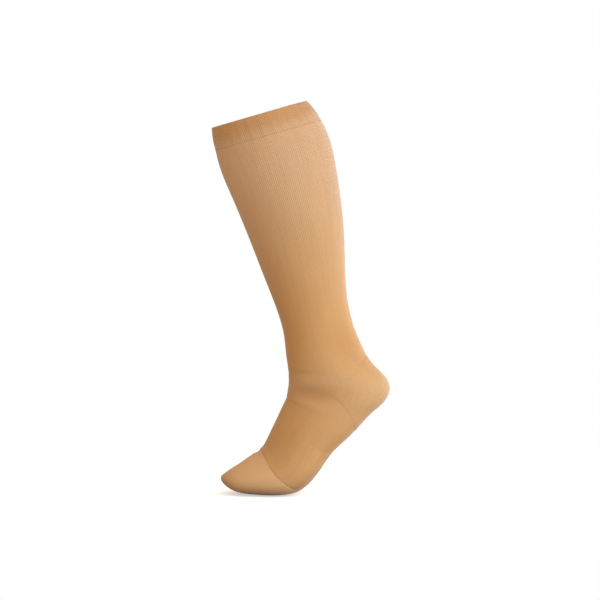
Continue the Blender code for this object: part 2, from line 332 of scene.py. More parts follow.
# %% [markdown]
# ## From a flat grid to knit on a leg
#
# Knit is a grid: wales run down it and courses run around it. So each piece starts as a flat
# grid, its points are moved on to the form, and Solidify gives it the thickness of the cloth.
# The grid's own UV map becomes the knit chart, in which one unit is one stitch, so the material
# can draw stitches that follow every curve. The rows are spaced by the cloth's length on its
# longest side, because the outside of the heel takes far more knit than the front of the ankle.

# %% Count wales around the leg and courses down it
WALES = 168
COURSE = 1.8
RINGS_MEASURED = 300
LAST_RING = LENGTH - 0.5
ANGLES_MEASURED = 361


def table_of_rings():
    """For rings down the stocking: their girth, how far around each angle lies, and back."""
    downs = np.linspace(0, LAST_RING, RINGS_MEASURED)
    half_turn = np.linspace(0, np.pi, ANGLES_MEASURED)
    points = bare_form(downs[:, None], half_turn[None, :])
    run = np.cumsum(np.linalg.norm(np.diff(points, axis=1), axis=-1), axis=1)
    run = np.pad(run, ((0, 0), (1, 0)))
    shares = run / run[:, -1:]
    evenly = np.linspace(0, 1, ANGLES_MEASURED)
    angles = np.stack([np.interp(evenly, share, half_turn) for share in shares])
    return downs, 2 * run[:, -1], shares, angles


RING_DOWNS, GIRTHS, SHARES, ANGLES = table_of_rings()
print(f"the calf is {GIRTHS.max():.0f} mm round, so its wales are {GIRTHS.max() / WALES:.1f} mm wide")


# %% Find a place by its stitches
PLACES_MEASURED = 2000
SIDES_COMPARED = 13


def read_table(table, down, across):
    """A value between the rows and columns of a table, with across from 0 to 1."""
    row = np.interp(down, RING_DOWNS, np.arange(len(table)))
    column = np.clip(across, 0, 1) * (table.shape[1] - 1)
    i = np.minimum(row.astype(int), len(table) - 2)
    j = np.minimum(column.astype(int), table.shape[1] - 2)
    row, column = row - i, column - j
    near = table[i, j] * (1 - column) + table[i, j + 1] * column
    far = table[i + 1, j] * (1 - column) + table[i + 1, j + 1] * column
    return near * (1 - row) + far * row


def angle_at(down, share):
    """The angle that lies this share of the girth from the front, from -0.5 to 0.5."""
    return np.sign(share) * read_table(ANGLES, down, 2 * np.abs(share))


def wale_at(down, angle):
    """The number of the wale at an angle from 0 to a full turn, counted from the back."""
    half = np.pi - np.abs(angle - np.pi)
    share = read_table(SHARES, down, half / np.pi) / 2
    return (0.5 - np.where(angle > np.pi, 1 - share, share)) * WALES


def lengths_down(angles):
    """A fine run of distances down, and the length of cloth to each on the longest of the angles."""
    fine = np.linspace(0, LENGTH, PLACES_MEASURED)
    along, _ = directions(fine[:, None], np.asarray(angles)[None, :])
    rate = np.linalg.norm(along, axis=-1).max(axis=1)
    return fine, np.concatenate([[0.0], np.cumsum((rate[1:] + rate[:-1]) / 2 * np.diff(fine))])


FINE, LONGEST = lengths_down(np.linspace(0, np.pi, SIDES_COMPARED))
_, SIDE = lengths_down([np.pi / 2])


def even_places(first, last, spacing):
    """Places from first to last that lie evenly on the longest side of the cloth."""
    start, end = np.interp([first, last], FINE, LONGEST)
    return np.interp(np.linspace(start, end, round((end - start) / spacing) + 1), LONGEST, FINE)


def courses_down(down):
    """How many courses lie above a place, as counted at the side of the stocking."""
    return np.interp(down, FINE, SIDE) / COURSE


print(f"{courses_down(LENGTH):.0f} courses from the top edge to the tip")


# %% Say where the knit is tight, and where shade is painted on it
# Five widths of a wale, a place down the band, and the depth of a crease that is painted in full
# shade.
SLACK_WALE = 1.35
TIGHT_WALE = 2.35
CLOSED_WALE = 0.6
OPEN_WALE = 2.0
TIP_WALE = 1.2
FIRM_BAND = 9.0
FULLY_SHADED_CREASE = 2.0


def soft_step(value, low, high):
    """0 up to low, 1 from high on, and smooth between."""
    share = np.clip((value - low) / (high - low), 0, 1)
    return share * share * (3 - 2 * share)


def mark_tension_and_shade(mesh, places, angles):
    """Writes down, for the material, how far each point's knit is stretched and open, and how
    much shade is painted on it.
    """
    wale_width = np.interp(places, RING_DOWNS, GIRTHS) / WALES
    stretch = np.clip((wale_width - SLACK_WALE) / (TIGHT_WALE - SLACK_WALE), 0, 1)
    # Painted shade: darker the deeper a crease or hollow is, and at the toe's tip, where the wales
    # crowd.
    crowded = 1 - soft_step(wale_width, TIP_WALE / 3, TIP_WALE)
    for attribute, values in (
        ("stretch", stretch * soft_step(places, FIRM_BAND, BAND_HEIGHT)),
        ("open_stitch", soft_step(wale_width, CLOSED_WALE, OPEN_WALE)),
        ("slack", np.clip(crease_depth(places, angles) / FULLY_SHADED_CREASE + crowded, 0, 1)),
    ):
        mesh.attributes.new(attribute, "FLOAT", "POINT").data.foreach_set("value", values)


# %% Chart a sheet, open it and give it a thickness
MERGED_BELOW = 0.001


def draw_chart(mesh, chart):
    """Turns the grid's own UV map into the knit chart."""
    knit_chart = mesh.uv_layers[0]
    knit_chart.name = "knit_chart"
    corners = np.empty(2 * len(mesh.loops))
    knit_chart.uv.foreach_get("vector", corners)
    wales, courses = chart(corners[0::2], 1 - corners[1::2])
    knit_chart.uv.foreach_set("vector", np.stack([wales, courses], axis=-1).ravel())


def select_nothing():
    """Deselects all points, edges and faces of the active mesh."""
    bpy.ops.object.mode_set(mode="EDIT")
    bpy.ops.mesh.select_all(action="DESELECT")
    bpy.ops.object.mode_set(mode="OBJECT")


def leave_out(mesh, across, down, opening):
    """Deletes the faces whose middle, in the flat grid, lies in the opening."""
    faces = [list(face.vertices) for face in mesh.polygons]
    middles = np.array([(across[corners].mean(), down[corners].mean()) for corners in faces])
    select_nothing()
    mesh.polygons.foreach_set("select", opening(middles[:, 0], middles[:, 1]))
    bpy.ops.object.mode_set(mode="EDIT")
    bpy.ops.mesh.select_mode(type="FACE")
    bpy.ops.mesh.delete(type="FACE")
    bpy.ops.mesh.select_mode(type="VERT")
    bpy.ops.object.mode_set(mode="OBJECT")


def close_edges():
    """Merges points where the grid meets itself, at its seam and at the tip."""
    bpy.ops.object.mode_set(mode="EDIT")
    bpy.ops.mesh.select_all(action="SELECT")
    bpy.ops.mesh.remove_doubles(threshold=MERGED_BELOW * MM)
    bpy.ops.object.mode_set(mode="OBJECT")


def thicken(sheet, wall):
    """Gives the cloth its thickness, inwards, and less where the group `wall` says so."""
    bpy.ops.object.modifier_add(type="SOLIDIFY")
    thickness = sheet.modifiers[-1]
    thickness.thickness = wall * MM
    thickness.offset = -1
    thickness.use_even_offset = True
    thickness.vertex_group = "wall"
    bpy.ops.object.modifier_apply(modifier=thickness.name)


# %% Make a sheet of knit
def knit_sheet(name, columns, rows, place, chart, wall, thin=None, opening=None):
    """A grid of knit on the form. For points across and down the grid, from 0 to 1, place gives
    (down, angle, proud), chart gives (wale, course), thin the share of the wall's thickness,
    and opening is true where a face is left out for another piece."""
    bpy.ops.mesh.primitive_grid_add(x_subdivisions=columns, y_subdivisions=rows, size=1.0)
    sheet = bpy.context.object
    sheet.name = sheet.data.name = name
    mesh = sheet.data
    flat = np.empty(3 * len(mesh.vertices))
    mesh.vertices.foreach_get("co", flat)
    across, down = flat[0::3] + 0.5, 0.5 - flat[1::3]
    places, angles, proud = place(across, down)
    mesh.vertices.foreach_set("co", (cloth(places, angles, proud) * MM).ravel())
    mark_tension_and_shade(mesh, places, angles)
    wall_group = sheet.vertex_groups.new(name="wall")
    shares = np.ones_like(across) if thin is None else np.round(thin(across, down), 2)
    for share in np.unique(shares):
        wall_group.add(np.flatnonzero(shares == share).tolist(), share, "REPLACE")
    draw_chart(mesh, chart)

    if opening is not None:
        leave_out(mesh, across, down, opening)
    close_edges()
    bpy.ops.object.shade_smooth()
    if wall:
        thicken(sheet, wall)
    sheet.select_set(False)
    print(f"{name}: {len(mesh.polygons)} faces")
    return sheet


# %% [markdown]
# ## The tube of the leg and foot
#
# On the machine the leg runs on into the foot without a seam, so one sheet stands for both. Its
# seam as a grid lies at the back, where the charts of its two edges meet at a whole stitch. It
# starts inside the band, which holds its top edge, and ends just inside the toe pocket. Its rows
# lie level down to the arch and then lean over to follow the toe seam, which sits further back
# on top of the toes than at their sides. The heel pocket takes the place of its knit at the
# back, so the tube is left open there, and both overlap by a few millimetres, as where
# reinforcing yarn is laid in.

# %% Say where the tube gives way to the heel and the toe
HEEL_APEX = 72.0
ANKLE_BEND = ("heel", 5.0)
HEEL_TOP = ("above the heel", 9.0)
HEEL_END = ("instep", 0.0)
TOE_SEAM = {"top": -12.0, "side": 1.0, "sole": -2.0}
SEAM_TRIES = 3


def heel_edges(angle):
    """The lines down to which the leg runs, and from which the foot does, at the heel pocket."""
    past_apex = (np.abs(turn_from(angle)) - HEEL_APEX) / (180 - HEEL_APEX)
    share = np.sin(np.pi / 2 * np.clip(past_apex, 0, 1))
    bend = down_to(*ANKLE_BEND)
    upper = bend - share * (bend - down_to(*HEEL_TOP))
    lower = bend + share * (down_to(*HEEL_END) - bend)
    return upper, lower


def toe_seam(angle):
    """The line down to which the foot runs, further back over the toes than at their sides."""
    top, side, sole = TOE_SEAM["top"], TOE_SEAM["side"], TOE_SEAM["sole"]
    past = side + ((top + sole) / 2 - side) * np.cos(angle) ** 2 + (top - sole) / 2 * np.cos(angle)
    return down_to("toe root", past)


def seam_at(share):
    """The place of the toe seam at a share of the girth. The angle there depends on the place."""
    place = np.full_like(share, down_to("toe root"))
    for _ in range(SEAM_TRIES):
        place = toe_seam(angle_at(place, share))
    return place


print(f"the heel pocket reaches {360 - 2 * HEEL_APEX:.0f} degrees around the back")


# %% Knit the tube
LEG_WALL = 1.5
TUBE_TOP = BAND_HEIGHT - 2.5
UNDER_THE_TOE = 0.5
HEEL_LAP = 3.5
ROW = 2.3

tube_rows = even_places(TUBE_TOP, down_to("toe root", UNDER_THE_TOE), ROW)


def tube_down(down):
    """The grid's rows, spaced so that the longest side of the cloth is even."""
    return np.interp(down, np.linspace(0, 1, len(tube_rows)), tube_rows)


def tube_place(across, down):
    """Rows lie level as far as the arch, and from there they bend over to follow the toe seam."""
    place, share = tube_down(down), 0.5 - across
    bent = np.clip((place - down_to("arch")) / (tube_rows[-1] - down_to("arch")), 0, 1) ** 2
    place = place + bent * (seam_at(share) - down_to("toe root"))
    return place, angle_at(place, share), np.zeros_like(down)


def tube_chart(across, down):
    return across * WALES, courses_down(tube_place(across, down)[0])


def heel_opening(across, down):
    place = tube_down(down)
    angle = angle_at(place, 0.5 - across)
    upper, lower = heel_edges(angle)
    below = place > further(upper, angle, HEEL_LAP)
    return below & (place < further(lower, angle, -HEEL_LAP))


leg_and_foot = knit_sheet(
    "leg_and_foot", WALES, len(tube_rows) - 1, tube_place, tube_chart, LEG_WALL,
    opening=heel_opening,
)

# %% [markdown]
# ## The heel pocket
#
# A heel is knitted to and fro on half of the needles: ever fewer stitches down to the point of
# the heel, then ever more again. The two halves meet along a slanting line on each side, the
# suture. So the pocket is a lens between two curved edges, and its courses run parallel to the
# nearer edge and turn at the suture. It is plaited with a second yarn, so it stands a little
# proud of the tube, and it thins out at its edges until it lies under the tube's face.

# %% Knit the heel pocket
HEEL_WALL = 2.1
HEEL_PROUD = 0.3
EDGE_SUNK = -0.25
EDGE_SLOPE = 3.2
EDGE_THIN = 0.6
HEEL_COLUMNS = 104
HEEL_ROWS = 44
TURNS_MEASURED = 181
STEPS_MEASURED = 41


def heel_angle(across):
    return np.radians(360 - HEEL_APEX - (360 - 2 * HEEL_APEX) * across)


heel_turns = np.radians(np.linspace(HEEL_APEX, 360 - HEEL_APEX, TURNS_MEASURED))
upper_edge, lower_edge = heel_edges(heel_turns)
steps = np.linspace(0, 1, STEPS_MEASURED)[:, None]
heel_lines = bare_form(
    upper_edge + steps * (lower_edge - upper_edge),
    np.broadcast_to(heel_turns, (STEPS_MEASURED, TURNS_MEASURED)),
)
heel_span = np.linalg.norm(np.diff(heel_lines, axis=0), axis=-1).sum(axis=0)


def heel_height(across):
    """The length of the heel's cloth from its upper to its lower edge."""
    return np.interp(heel_angle(across), heel_turns, heel_span)


def from_edge(across, down):
    """How far a place on the heel lies from its nearer edge, in millimetres of cloth."""
    return np.minimum(down, 1 - down) * heel_height(across)


def heel_place(across, down):
    angle = heel_angle(across)
    upper, lower = heel_edges(angle)
    rise = soft_step(from_edge(across, down), 0, EDGE_SLOPE)
    return upper + down * (lower - upper), angle, EDGE_SUNK + rise * (HEEL_PROUD - EDGE_SUNK)


def heel_chart(across, down):
    place, angle, _ = heel_place(across, down)
    return wale_at(place, angle), from_edge(across, down) / COURSE


def heel_thin(across, down):
    return EDGE_THIN + (1 - EDGE_THIN) * soft_step(from_edge(across, down), 0, EDGE_SLOPE)


heel_pocket = knit_sheet(
    "heel_pocket", HEEL_COLUMNS, HEEL_ROWS, heel_place, heel_chart, HEEL_WALL, thin=heel_thin
)
print(f"the heel's cloth is {heel_span.max():.0f} mm long at the back")

# %% [markdown]
# ## The toe pocket
#
# The toe is knitted like the heel, reinforced against the shoe, and closed by linking its open
# edge to the foot, stitch for stitch. Here it is a dome of knit. Its first row follows the
# slope of the seam and lies under the face of the tube, and its wales crowd together where it
# rounds off to the tip.

# %% Knit the toe pocket
TOE_WALL = 2.0
TOE_PROUD = 0.25
TOE_LAP = 1.5
TOE_COLUMNS = 126
TOE_ROWS = 46


def toe_down(across, down):
    """The place of a point of the toe's grid, and how much of its edge's slope it has climbed."""
    first = seam_at(0.5 - across) - TOE_LAP
    place = first + (1 - (1 - down) ** 2) * (LENGTH - first)
    return place, soft_step(place - first, 0, EDGE_SLOPE)


def toe_place(across, down):
    place, rise = toe_down(across, down)
    return place, angle_at(place, 0.5 - across), EDGE_SUNK + rise * (TOE_PROUD - EDGE_SUNK)


def toe_chart(across, down):
    return across * WALES, courses_down(toe_down(across, down)[0])


def toe_thin(across, down):
    return EDGE_THIN + (1 - EDGE_THIN) * toe_down(across, down)[1]


toe_pocket = knit_sheet(
    "toe_pocket", TOE_COLUMNS, TOE_ROWS, toe_place, toe_chart, TOE_WALL, thin=toe_thin
)

# %% [markdown]
# ## The band
#
# The welt is knitted twice as tall as it shows, turned down on itself over its elastic, and
# closed at its lower edge. A profile of that fold is carried around the leg: up the inside, over
# a full round fold, down the outside, in to the groove where the turned half is caught, and
# around the lower edge. Elastic laid in every few courses raises low ridges along it. The face
# flattens towards the lower edge, so that the welt runs almost level into the leg.

# %% Draw the fold of the band
BAND_OUT = 0.6
BAND_IN = -1.8
BAND_SWELL = 0.22
ELASTIC_PITCH = 2.7
ELASTIC_RIDGE = 0.05
CAUGHT_AT = 22.0
CAUGHT_DEPTH = 0.2
CAUGHT_WIDTH = 1.6
BAND_LIP = 0.25
LIP_FROM = 15.0
EDGE_ROUND = 0.8
FACE_POINTS = 46
FOLD_TURNS = np.radians(np.arange(15, 180, 15))
EDGE_TURNS = np.radians([30, 60, 90])


def band_profile():
    """Places down the stocking and out of its surface, around the fold's cross-section."""
    middle, radius = (BAND_OUT + BAND_IN) / 2, (BAND_OUT - BAND_IN) / 2
    edge = BAND_HEIGHT - EDGE_ROUND
    face = np.linspace(radius, edge, FACE_POINTS)
    inside = [(down, BAND_IN) for down in face[::-1][::2]]
    fold = [(radius - radius * np.sin(turn), middle - radius * np.cos(turn)) for turn in FOLD_TURNS]
    share = (face - face[0]) / (face[-1] - face[0])
    swell = BAND_SWELL * np.sin(np.pi * np.clip(face / CAUGHT_AT, 0, 1))
    ridges = ELASTIC_RIDGE * np.cos(2 * np.pi * face / ELASTIC_PITCH) * np.sin(np.pi * share)
    caught = CAUGHT_DEPTH * bump(face - CAUGHT_AT, CAUGHT_WIDTH)
    flatter = (BAND_OUT - BAND_LIP) * soft_step(face, LIP_FROM, edge)
    outside = list(zip(face, BAND_OUT + swell + ridges - caught - flatter))
    bends = EDGE_ROUND * np.sin(EDGE_TURNS), EDGE_ROUND * (1 - np.cos(EDGE_TURNS))
    lower = [(edge + down, BAND_LIP - dip) for down, dip in zip(*bends)]
    under = [(edge + down, BAND_IN + dip) for down, dip in zip(*bends)][::-1]
    return np.array(inside + fold + outside + lower + under + inside[:1])


PROFILE = band_profile()
PROFILE_LENGTH = run_along(PROFILE)
print(f"the fold takes {PROFILE_LENGTH[-1]:.0f} mm of knit around its cross-section")


# %% Knit the band
BAND_COLUMNS = 252


def along_profile(down, values):
    return np.interp(down, np.linspace(0, 1, len(PROFILE)), values)


def band_place(across, down):
    places, proud = along_profile(down, PROFILE[:, 0]), along_profile(down, PROFILE[:, 1])
    return places, angle_at(places, 0.5 - across), proud


def band_chart(across, down):
    return across * WALES, along_profile(down, PROFILE_LENGTH) / COURSE


top_welt = knit_sheet(
    "top_welt", BAND_COLUMNS, len(PROFILE) - 1, band_place, band_chart, wall=None
)

# %% [markdown]
# ## The stitches that join the pieces
#
# Three rows of thread can be seen on such a stocking: the row that closes the turned band, the
# linked seam over the toes, and the small marks along the suture on each side of the heel. One
# stitch is modelled, a short rod of thread whose ends dive into the cloth, and it is copied
# along each row, turned to lie on the surface.

# %% Model one stitch
STITCH_SIDES = 6
STITCH_CUTS = 3
STITCH_TAPER = 0.45
STITCH_RISE = 0.35
STITCH_DIP = 0.85


def one_stitch(length, thread):
    """A rod of thread along X, 1 mm for each unit, that rises in its middle and dips at its ends.
    The taper, rise and dip are shares of the thread's thickness."""
    bpy.ops.mesh.primitive_cylinder_add(
        vertices=STITCH_SIDES, radius=thread / 2, depth=length, rotation=(0, np.pi / 2, 0)
    )
    stitch = bpy.context.object
    bpy.ops.object.transform_apply(location=False, rotation=True, scale=False)
    select_nothing()
    for edge in stitch.data.edges:
        ends = [stitch.data.vertices[i].co.x for i in edge.vertices]
        edge.select = abs(ends[0] - ends[1]) > length / 2
    bpy.ops.object.mode_set(mode="EDIT")
    bpy.ops.mesh.select_mode(type="EDGE")
    bpy.ops.mesh.subdivide(number_cuts=STITCH_CUTS)
    bpy.ops.mesh.select_mode(type="VERT")
    bpy.ops.object.mode_set(mode="OBJECT")
    for vertex in stitch.data.vertices:
        reach = vertex.co.x / (length / 2)
        taper = 1 - STITCH_TAPER * reach**4
        vertex.co.y *= taper
        vertex.co.z = vertex.co.z * taper + thread * (STITCH_RISE - STITCH_DIP * reach**2)
    bpy.ops.object.shade_smooth()
    stitch.select_set(False)
    return stitch


# %% Lay stitches on the cloth, in a row
STEP_AROUND = 0.01
STEP_DOWN = 0.1


def on_the_cloth(down, angle, proud, slant):
    """A matrix that lays a stitch on the cloth. At a slant of 0 it runs around the leg, and at
    90 degrees it runs down it."""
    down, angle = np.array(down), np.array(angle)
    here = cloth(down, angle, np.array(proud))
    around = cloth(down, angle + STEP_AROUND, np.array(proud)) - here
    along = cloth(down + STEP_DOWN, angle, np.array(proud)) - here
    out = Vector(np.cross(around, along)).normalized()
    run = Vector(around).normalized()
    run = Matrix.Rotation(np.radians(slant), 3, -out) @ run
    turned = Matrix((run, out.cross(run), out)).transposed().to_4x4()
    return Matrix.Translation(Vector(here) * MM) @ turned @ Matrix.Scale(MM, 4)


def row_of_stitches(name, stitch, spots):
    """One piece made of copies of a stitch, one for each matrix."""
    copies = []
    for spot in spots:
        copy = stitch.copy()
        copy.data = stitch.data.copy()
        copy.data.transform(spot)
        bpy.context.collection.objects.link(copy)
        copies.append(copy)
    bpy.data.objects.remove(stitch)
    for copy in copies:
        copy.select_set(True)
    bpy.context.view_layer.objects.active = copies[0]
    bpy.ops.object.join()
    row = bpy.context.object
    row.name = row.data.name = name
    row.select_set(False)
    print(f"{name}: {len(spots)} stitches, {len(row.data.polygons)} faces")
    return row


# %% Sew the row that closes the band
BAND_STITCH = 2.5
BAND_THREAD = 0.5
BAND_STITCH_PITCH = 1.06 * BAND_STITCH
BAND_STITCH_SLANT = 18.0
BELOW_BAND = 0.2
all_round = np.linspace(0, 2 * np.pi, ANGLES_MEASURED)
band_girth = run_along(cloth(np.full_like(all_round, BAND_HEIGHT), all_round))[-1]
band_count = round(band_girth / BAND_STITCH_PITCH)
band_stitches = row_of_stitches(
    "band_stitches",
    one_stitch(BAND_STITCH, BAND_THREAD),
    [
        on_the_cloth(BAND_HEIGHT + BELOW_BAND, angle, 0.0, BAND_STITCH_SLANT)
        for angle in np.linspace(0, 2 * np.pi, band_count, endpoint=False)
    ],
)
print(f"the band is {band_girth:.0f} mm round at its lower edge")

# %% Link the seam over the toes
TOE_STITCH = 2.0
TOE_THREAD = 0.7
TOE_STITCH_PITCH = 0.72 * TOE_STITCH
TOE_STITCH_SLANT = 42.0
TOE_STITCH_PROUD = 0.12
LINKED_HALF_TURN = 104.0
SEAM_POINTS = 400


def evenly_along_seam(half_turn, spacing):
    """Angles that lie evenly along the toe seam, on both sides of its top."""
    fine = np.radians(np.linspace(-half_turn, half_turn, SEAM_POINTS))
    run = run_along(cloth(toe_seam(fine), fine))
    return np.interp(np.linspace(0, run[-1], round(run[-1] / spacing) + 1), run, fine)


def seam_lean(angle):
    """How many degrees the toe seam turns down from level."""
    along, around = directions(toe_seam(angle), angle)
    slope = (toe_seam(angle + NUDGE) - toe_seam(angle - NUDGE)) / (2 * NUDGE)
    return np.degrees(np.arctan2(slope * np.linalg.norm(along), np.linalg.norm(around)))


toe_spots = []
for i, angle in enumerate(evenly_along_seam(LINKED_HALF_TURN, TOE_STITCH_PITCH)):
    slant = seam_lean(angle) + (TOE_STITCH_SLANT if i % 2 else -TOE_STITCH_SLANT)
    toe_spots.append(on_the_cloth(toe_seam(angle), angle, TOE_STITCH_PROUD, slant))
toe_stitches = row_of_stitches("toe_link_seam", one_stitch(TOE_STITCH, TOE_THREAD), toe_spots)

# %% Mark the sutures of the heel
SUTURE_STITCH = 1.7
SUTURE_THREAD = 0.5
SUTURE_TURNS = np.arange(HEEL_APEX + 5.0, 148.0, 2.9)
SUTURE_SLANT = 62.0
SUTURE_PROUD = HEEL_PROUD - 0.12
suture_spots = []
for side in (-1, 1):
    for angle in np.radians(side * SUTURE_TURNS):
        middle = sum(heel_edges(angle)) / 2
        suture_spots.append(on_the_cloth(middle, angle, SUTURE_PROUD, SUTURE_SLANT * side))
heel_suture = row_of_stitches(
    "heel_suture", one_stitch(SUTURE_STITCH, SUTURE_THREAD), suture_spots
)

# %% [markdown]
# ## The knit as a material
#
# Compression hosiery is a plain circular knit of nylon, with elastane covered in nylon laid in
# every other course. Nylon yarn is smooth, but a knit of it is full of small shadows, so it
# looks matt with a soft bloom at its edges, which is what sheen gives. The shade between its
# wales is painted into its colour. Where the leg stretches it, the stitches open and it looks
# paler. Where the wales are narrow it is nearly smooth. In creases and hollows, darker the deeper
# they are, and at the tip of the toe, where the wales crowd, shade is painted into the colour too.
# The welt's elastic keeps its stitches closed, so it has a deeper tan that fades out into the
# leg's. The stitches of the real knit are about 0.8 mm wide, too fine to see from here, so they
# are drawn a little over 2 mm wide at the calf. One recipe makes all the knits, because they
# differ only in yarn, colour and thickness.

# %% Colours and nodes
def linear(colour):
    """An sRGB hex colour as linear light, by the standard's own formula."""
    channels = np.array([int(colour[i : i + 2], 16) / 255 for i in (0, 2, 4)])
    low, high = channels / 12.92, ((channels + 0.055) / 1.055) ** 2.4
    return (*np.where(channels <= 0.04045, low, high).tolist(), 1.0)


def feed(tree, node, inputs):
    """Gives each of these inputs its value, or links it from a node or socket."""
    for key, value in inputs.items():
        if isinstance(value, bpy.types.Node):
            value = value.outputs[0]
        if isinstance(value, bpy.types.NodeSocket):
            tree.links.new(value, node.inputs[key])
        else:
            node.inputs[key].default_value = value


def add(tree, kind, inputs=None, **settings):
    """A new node with its settings, fed with its inputs."""
    node = tree.nodes.new("ShaderNode" + kind)
    for name, value in settings.items():
        setattr(node, name, value)
    feed(tree, node, inputs or {})
    return node


WHITE = linear("FFFFFF")

# %% List the knits
# Four colours: the knit's own when tight and when opened, the painted shade between its wales,
# and the painted shade of creases, hollows and the toe's tip. Then the relief in metres, and the
# shader's roughness and sheen.
Knit = namedtuple("Knit", "tight opened shadow slack relief roughness sheen")
KNITS = {
    "circular_knit_nylon": Knit("C69457", "D1A981", "986735", "A4652A", 0.0002, 0.62, 0.36),
    "plaited_heel_knit": Knit("C7955A", "D1A87D", "9A693A", "A4652A", 0.00024, 0.66, 0.36),
    "plaited_toe_knit": Knit("D8AB79", "DDB48A", "93673A", "6E4A28", 0.00024, 0.66, 0.34),
    "double_welt_knit": Knit("C1915D", "D1A981", "8F6033", "A4652A", 0.00024, 0.64, 0.34),
}
print("knits:", ", ".join(KNITS))

# %% Draw the stitches
SLANT_OF_STITCH = 0.55
WALE_GROOVE = 0.4
GROOVE_SHARPNESS = 6.0
LOOP_LOW = 0.4
MEAN_HEIGHT = 0.45


def stitch_height(tree, wale, course):
    """The relief of plain knit, from 0 between the wales to 1 on the yarn: each stitch is a V."""
    fold = add(tree, "Math", {0: wale, 1: 0.5}, operation="PINGPONG")
    inward = add(tree, "Math", {0: fold, 1: 2.0}, operation="MULTIPLY")
    quarter = add(tree, "Math", {0: inward, 1: np.pi / 2}, operation="MULTIPLY")
    rib = add(tree, "Math", {0: quarter}, operation="SINE")
    middle = add(tree, "Math", {0: inward, 1: GROOVE_SHARPNESS}, operation="POWER")
    groove = add(tree, "Math", {0: middle, 1: WALE_GROOVE}, operation="MULTIPLY")
    yarn = add(tree, "Math", {0: rib, 1: groove}, operation="SUBTRACT")
    slant = add(tree, "Math", {0: inward, 1: -SLANT_OF_STITCH}, operation="MULTIPLY")
    slanted = add(tree, "Math", {0: course, 1: slant}, operation="ADD")
    phase = add(tree, "Math", {0: slanted}, operation="FRACT")
    half_turn = add(tree, "Math", {0: phase, 1: np.pi}, operation="MULTIPLY")
    loop = add(tree, "Math", {0: half_turn}, operation="SINE")
    loops = add(tree, "MapRange", {"Value": loop, "To Min": LOOP_LOW, "To Max": 1.0})
    height = add(tree, "Math", {0: yarn, 1: loops}, operation="MULTIPLY")
    opened = add(tree, "Attribute", attribute_name="open_stitch").outputs["Fac"]
    return add(tree, "Mix", {0: opened, 2: MEAN_HEIGHT, 3: height}, data_type="FLOAT")


# %% Draw the streaks
# On a circle of this radius the noise changes about 120 times, once for every wale or two.
STREAK_RADIUS = 19.0
STREAK_PACE = 0.02 / STREAK_RADIUS


def streaks_down(tree, wale, course):
    """Faint lines down the wales, from yarn that is never quite even. They close on themselves
    around the leg because the wale's number is turned into an angle."""
    turn = add(tree, "Math", {0: wale, 1: 2 * np.pi / WALES}, operation="MULTIPLY")
    sine = add(tree, "Math", {0: turn}, operation="SINE")
    cosine = add(tree, "Math", {0: turn}, operation="COSINE")
    slow = add(tree, "Math", {0: course, 1: STREAK_PACE}, operation="MULTIPLY")
    place = add(tree, "CombineXYZ", {0: sine, 1: cosine, 2: slow})
    return add(tree, "TexNoise", {"Vector": place, "Scale": STREAK_RADIUS})


# %% Dye the knit
SHADOW = 0.34
SHADOW_BELOW = 0.7
PAINTED_SHADE_MIX = 0.3
STREAKS = 0.07
# In metres: patches about as wide as the fingers that pull the stocking up.
MOTTLE_SIZE = 0.045
MOTTLE = 0.07
INLAY = 0.015


def dyed(tree, knit, course, height, streak, place):
    """The colour: paler where it is stretched, with painted shade in its grooves, in creases and
    hollows and at the toe's tip, and nowhere quite even. Every other course, with the elastic laid
    in, is a little lighter."""
    stretch = add(tree, "Attribute", attribute_name="stretch").outputs["Fac"]
    slack = add(tree, "Attribute", attribute_name="slack").outputs["Fac"]
    # Painted shade between the wales, where the relief is low.
    groove = add(tree, "MapRange", {
        "Value": height, "From Max": SHADOW_BELOW, "To Min": SHADOW, "To Max": 0.0,
    })
    # Painted shade, in creases and hollows and at the toe's tip, mixed in by this share.
    packed = add(tree, "Math", {0: slack, 1: PAINTED_SHADE_MIX}, operation="MULTIPLY")
    colour = linear(knit.tight)
    for share, other in ((stretch, knit.opened), (groove, knit.shadow), (packed, knit.slack)):
        mix = add(tree, "Mix", {"Factor": share, 6: colour, 7: linear(other)}, data_type="RGBA")
        colour = mix.outputs[2]
    mottle = add(tree, "TexNoise", {"Vector": place, "Scale": 1 / MOTTLE_SIZE, "Detail": 3.0})
    inlay = add(tree, "Math", {0: course, 1: 1.0}, operation="PINGPONG")
    shades = [
        add(tree, "MapRange", {"Value": pattern, "To Min": 1 - swing, "To Max": 1 + swing})
        for pattern, swing in ((streak, STREAKS), (mottle, MOTTLE), (inlay, -INLAY))
    ]
    value = add(tree, "Math", {0: shades[0], 1: shades[1]}, operation="MULTIPLY")
    value = add(tree, "Math", {0: value, 1: shades[2]}, operation="MULTIPLY")
    return add(tree, "HueSaturation", {"Value": value, "Color": colour})


# %% Finish the knit
# The filaments are some 0.02 mm thick, and their fuzz is drawn as coarse as it needs to show.
FUZZ_SIZE = 0.0012
FUZZ_RELIEF = 0.00008
GROOVE_ROUGHER = 0.08
YARN_SMOOTHER = 0.04
NYLON_IOR = 1.53
KNIT_SPECULAR = 0.5
SHEEN_ROUGHNESS = 0.35
SHEEN_TINT = "FFF6EC"


